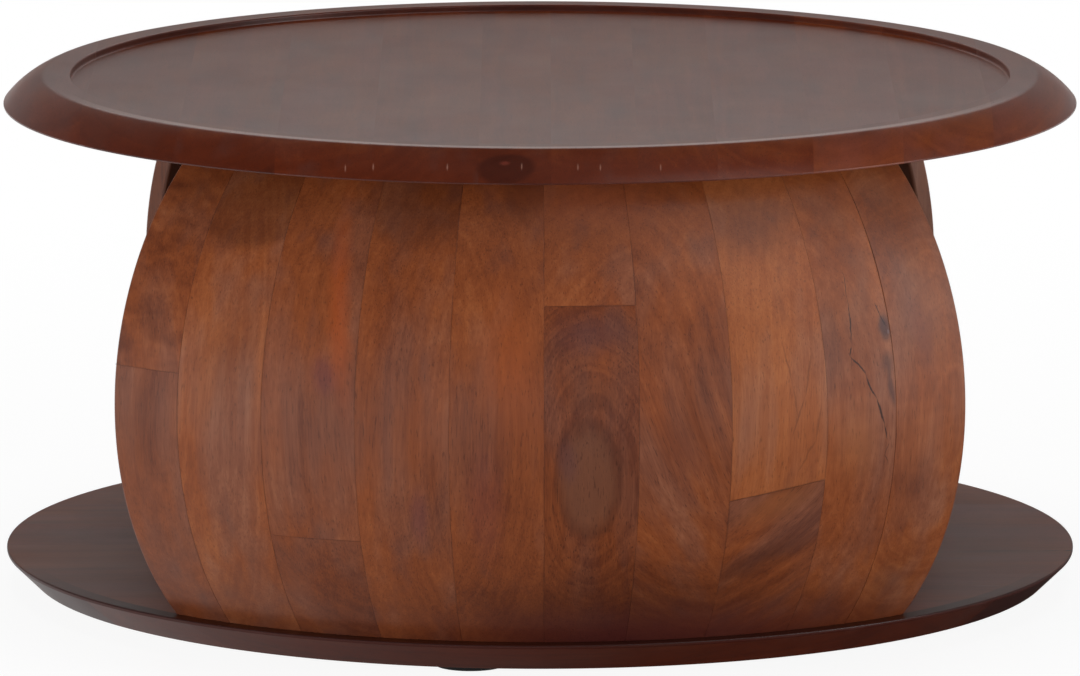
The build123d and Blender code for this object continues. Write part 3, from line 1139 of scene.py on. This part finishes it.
SCREW_HEAD_RADIUS = 4.5 * MM
SCREW_SHANK_RADIUS = 2.25 * MM
SCREW_HEAD_HEIGHT = 3 * MM
SCREW_HEAD_RIM = 0.3 * MM
SCREW_POINT = 6 * MM
SCREW_CLEARANCE = 0.1 * MM
GLIDE_HEAD_DEPTH = 2.5 * MM
RECESS_REACH = 2.4 * MM
RECESS_HALF_ARM = 0.65 * MM
RECESS_DEPTH = 1.7 * MM
RECESS_TAPER = 0.6
SCREW_STEPS, GLIDE_STEPS = 32, 72


def screw_shape(length):
    """A countersunk wood screw pointing up, its head's flat at 0, with a cross recess."""
    outline = [
        (0, 0),
        (SCREW_HEAD_RADIUS, 0),
        (SCREW_HEAD_RADIUS, SCREW_HEAD_RIM),
        (SCREW_SHANK_RADIUS, SCREW_HEAD_HEIGHT),
        (SCREW_SHANK_RADIUS, length - SCREW_POINT),
        (0, length),
    ]
    shape = turned(outline, SCREW_STEPS)
    middle = min(shape.verts, key=lambda vertex: vertex.co.length)
    around = [edge for face in middle.link_faces for edge in face.edges if middle not in edge.verts]
    shape.verts.remove(middle)
    arm, reach = RECESS_HALF_ARM, RECESS_REACH
    corners = []
    for quarter in range(4):
        turn = Matrix.Rotation(quarter * math.pi / 2, 3, "Z")
        corners += [turn @ Vector(spot) for spot in ((reach, -arm, 0), (reach, arm, 0), (arm, arm, 0))]
    mouth = [shape.verts.new(spot) for spot in corners]
    floor = [shape.verts.new((s.x * RECESS_TAPER, s.y * RECESS_TAPER, RECESS_DEPTH)) for s in corners]
    count = len(mouth)
    for here in range(count):
        there = (here + 1) % count
        shape.faces.new((mouth[here], mouth[there], floor[there], floor[here]))
    shape.faces.new(floor)
    around += [shape.edges.get((mouth[i], mouth[(i + 1) % count])) for i in range(count)]
    bmesh.ops.triangle_fill(shape, use_beauty=True, edges=around)
    bmesh.ops.recalc_face_normals(shape, faces=shape.faces)
    return smooth_mesh(shape, "screw", sharp_from=30)


def ring_of_screws_tree():
    """Geometry nodes that set screws out round the table, in one fan for each side."""
    tree, add, given = new_geometry(
        "ring_of_screws",
        "Screws",
        Float=("Radius", "Level", "First Angle", "Step Angle"),
        Int=("Count", "Fan Count"),
        Object=("Screw",),
        Material=("Finish",),
    )
    number = add("GeometryNodeInputIndex")
    in_fan = add("MODULO", (number, given["Fan Count"]))
    fan = add("DIVIDE", (number, given["Fan Count"]))
    fan = add("FLOOR", (fan,))
    turn = add("MULTIPLY_ADD", (in_fan, given["Step Angle"], given["First Angle"]))
    turn = add("MULTIPLY_ADD", (fan, math.pi, turn))
    beside = add("CombineXYZ", (given["Radius"], 0, given["Level"]))
    spot = add("VectorRotate", {"Vector": beside, "Angle": turn}, rotation_type="Z_AXIS")
    points = add("GeometryNodePoints", {"Count": given["Count"], "Position": spot})
    screw = add("GeometryNodeObjectInfo", {"Object": given["Screw"]})
    twist = add("FunctionNodeRandomValue", {2: 0.0, 3: math.pi / 2, "Seed": 5}, data_type="FLOAT")
    facing = add("CombineXYZ", (0, 0, twist.outputs[1]))
    facing = add("FunctionNodeEulerToRotation", (facing,))
    each = {"Points": points, "Instance": screw.outputs["Geometry"], "Rotation": facing}
    placed = add("GeometryNodeInstanceOnPoints", each)
    put_out(add, placed, given["Finish"])
    return tree


glide_count = sum(name.startswith("glide_") and name != "glide_screws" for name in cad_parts)
glide_middles = [sum(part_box(f"glide_{number}"), Vector()) / 2 for number in range(1, glide_count + 1)]
glide_ring_radius = glide_middles[0].xy.length
first_glide_angle = math.atan2(glide_middles[0].y, glide_middles[0].x)
cleat_screw_inset = 12 * MM
screw_step = math.radians(18)
foot_screw_radius = panel_radius(0, stave_thickness) - cleat_screw_inset
head_screw_radius = panel_radius(panel_height, stave_thickness) - cleat_screw_inset

screws_tree = ring_of_screws_tree()
screw_rings = [
    # node, radius, first angle, step, number of screws, screws in a fan
    ("top_cleat_screws", head_screw_radius, front_middle - screw_step, screw_step, 6, 3),
    ("base_cleat_screws", foot_screw_radius, front_middle - screw_step, screw_step, 6, 3),
    (
        "glide_screws",
        glide_ring_radius,
        first_glide_angle,
        2 * math.pi / glide_count,
        glide_count,
        glide_count,
    ),
]
for node, radius, first, step, count, fan in screw_rings:
    low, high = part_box(node)
    screw = new_object("screw", screw_shape(high.z - low.z))
    screws = grow(
        screws_tree,
        node + "_driven",
        {
            "Radius": radius,
            "Level": low.z,
            "First Angle": first,
            "Step Angle": step,
            "Count": count,
            "Fan Count": fan,
            "Screw": screw,
            "Finish": steel_finish,
        },
    )
    bpy.data.objects.remove(screw)
    hand_over(screws, steel_finish, "screw_steel", node)

for number, middle in enumerate(glide_middles, start=1):
    low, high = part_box(f"glide_{number}")
    glide_radius, glide_height = (high.x - low.x) / 2, high.z - low.z
    bore = SCREW_SHANK_RADIUS + SCREW_CLEARANCE
    mouth = SCREW_HEAD_RADIUS + SCREW_CLEARANCE
    outline = rounded(
        [
            (mouth, 0, 0.5 * MM),
            (glide_radius, 0, 3 * MM),
            (glide_radius, glide_height, 0.4 * MM),
            (bore, glide_height, 0),
            (bore, GLIDE_HEAD_DEPTH + SCREW_HEAD_HEIGHT, 0),
            (mouth, GLIDE_HEAD_DEPTH, 0),
        ],
        margin=0.2 * MM,
    )
    mesh = smooth_mesh(turned(outline, GLIDE_STEPS), f"glide_{number}_moulded")
    mesh.transform(Matrix.Translation((middle.x, middle.y, low.z)))
    hand_over(new_object(f"glide_{number}_moulded", mesh), rubber_finish, "glide_rubber", f"glide_{number}")

# ---- Studio ----

# How much light the floor throws into the lacquer besides its own paint, from 2 m on the left
# to 2 m on the right: place, grey.
FLOOR_SHEEN = (
    (0.0, 1.2),
    (0.1, 0.7),
    (0.36, 0.62),
    (0.42, 0.54),
    (0.46, 0.30),
    (0.52, 0.0),
    (0.70, 0.0),
    (0.9, 0.5),
    (1.0, 1.4),
)


def seen_directly(add):
    """1 for what the camera sees itself or through something clear."""
    ray = add("LightPath").outputs
    return add("MAXIMUM", (ray["Is Camera Ray"], ray["Is Transmission Ray"]))


def floor_finish():
    """Pale floor, which looks different to the table, to the lacquer's reflections and to the
    camera."""
    material, add = new_material("pale_studio_floor")
    paint = add("BsdfDiffuse", {"Color": linear("#aaa8a6")})
    spot = add("TexCoord").outputs["Object"]

    # Reflections see light that changes from side to side, and a dim floor from 2 m in front.
    across, back = add("SeparateXYZ", (spot,)).outputs[:2]
    swept = add("MapRange", (across, -2, 2))
    swept = add("ValToRGB", (swept,))
    set_ramp(swept, [(at, (*[grey] * 3, 1)) for at, grey in FLOOR_SHEEN])
    sweep = add("Emission", (swept,))
    fading = add("MapRange", (back, -2.2, -1.4, 0.0, 0.24))
    faded = add("BsdfDiffuse", (fading,))
    mirrored = add("AddShader", (faded, sweep))

    # The camera sees it lifted to white, with part of its shadow, and plain white further off.
    bright = add("BsdfDiffuse", {"Color": linear("#686868")})
    glow = add("Emission", {"Strength": 0.91})
    lifted = add("AddShader", (bright, glow))
    distance = add("VectorMath", (spot,), "LENGTH").outputs["Value"]
    far = add("MapRange", (distance, 0.7, 1.9))
    lifted = add("MixShader", (far, lifted, add("Emission")))

    glossy = add("LightPath").outputs["Is Glossy Ray"]
    unseen = add("MixShader", (glossy, paint, mirrored))
    mixed = add("MixShader", (seen_directly(add), unseen, lifted))
    add("OutputMaterial", (mixed,))
    return material


FLOOR_HALF_WIDTH = 30.0


def build_floor():
    half = FLOOR_HALF_WIDTH
    mesh = bpy.data.meshes.new("studio_floor")
    corners = [(-half, -half, 0), (half, -half, 0), (half, half, 0), (-half, half, 0)]
    mesh.from_pydata(corners, [], [(0, 1, 2, 3)])
    mesh.materials.append(floor_finish())
    new_object("studio_floor", mesh)


# How light the surroundings are: sine of the elevation, grey.
SURROUNDINGS = ((0.0, 0.31), (0.2, 0.31), (0.35, 0.15), (0.8, 0.03))


def build_world():
    """Soft grey surroundings, dark overhead; white to the camera."""
    world = bpy.data.worlds.new("studio")
    bpy.context.scene.world = world
    world.use_nodes = True
    world.node_tree.nodes.clear()
    add = partial(add_node, world.node_tree)
    direction = add("TexCoord").outputs["Generated"]
    height = add("SeparateXYZ", (direction,)).outputs[2]
    level = add("ValToRGB", (height,))
    set_ramp(level, [(at, (*[grey] * 3, 1)) for at, grey in SURROUNDINGS])
    around = add("Background", (level,))
    white = add("Background", ((1, 1, 1, 1),))
    mixed = add("MixShader", (seen_directly(add), around, white))
    add("OutputWorld", (mixed,))


def softbox(name, spot, width, height, power, lights=True, reflected=True):
    """A rectangular soft lamp aimed at the table. A fill lamp isn't reflected in the lacquer,
    and a sheen card is only reflected."""
    lamp = bpy.data.lights.new(name, "AREA")
    lamp.shape = "RECTANGLE"
    lamp.size, lamp.size_y = width, height
    lamp.energy = power
    holder = bpy.data.objects.new(name, lamp)
    holder.location = spot
    aim = Vector((0, 0, 0.25)) - Vector(spot)
    holder.rotation_euler = aim.to_track_quat("-Z", "Y").to_euler()
    holder.visible_glossy = reflected
    holder.visible_diffuse = lights
    bpy.context.scene.collection.objects.link(holder)


def build_lamps():
    softbox("right_card", (2.25, -0.75, 1.15), 1.0, 1.0, 14, lights=False)
    softbox("high_right_card", (1.15, -1.25, 1.9), 1.4, 1.4, 9, lights=False)
    softbox("back_strip", (0.0, 1.6, 1.15), 1.3, 0.25, 1.8, lights=False)
    softbox("front_fill", (0.0, -3.6, 0.38), 3.0, 0.6, 52, reflected=False)
    softbox("left_fill", (-2.7, -1.3, 0.38), 1.8, 0.6, 37, reflected=False)
    softbox("right_fill", (2.7, -1.3, 0.38), 1.8, 0.6, 35, reflected=False)
    softbox("rear_fill", (0.0, 3.6, 0.8), 3.0, 1.4, 60, reflected=False)
    softbox("top_fill", (0.0, 0.0, 3.0), 2.0, 2.0, 24, reflected=False)


CAMERA_DISTANCE = 8.350
CAMERA_HEIGHT = 1.633
CAMERA_TILT = math.radians(9.85)
CAMERA_LENS = 377.2


def build_camera():
    data = bpy.data.cameras.new("camera")
    data.lens = CAMERA_LENS
    data.sensor_width = 36
    data.sensor_fit = "HORIZONTAL"
    data.clip_end = 200
    camera = bpy.data.objects.new("camera", data)
    camera.location = (0, -CAMERA_DISTANCE, CAMERA_HEIGHT)
    camera.rotation_euler = (math.pi / 2 - CAMERA_TILT, 0, 0)
    bpy.context.scene.collection.objects.link(camera)
    bpy.context.scene.camera = camera


build_floor()
build_world()
build_lamps()
build_camera()
bpy.context.scene.view_settings.view_transform = "Standard"
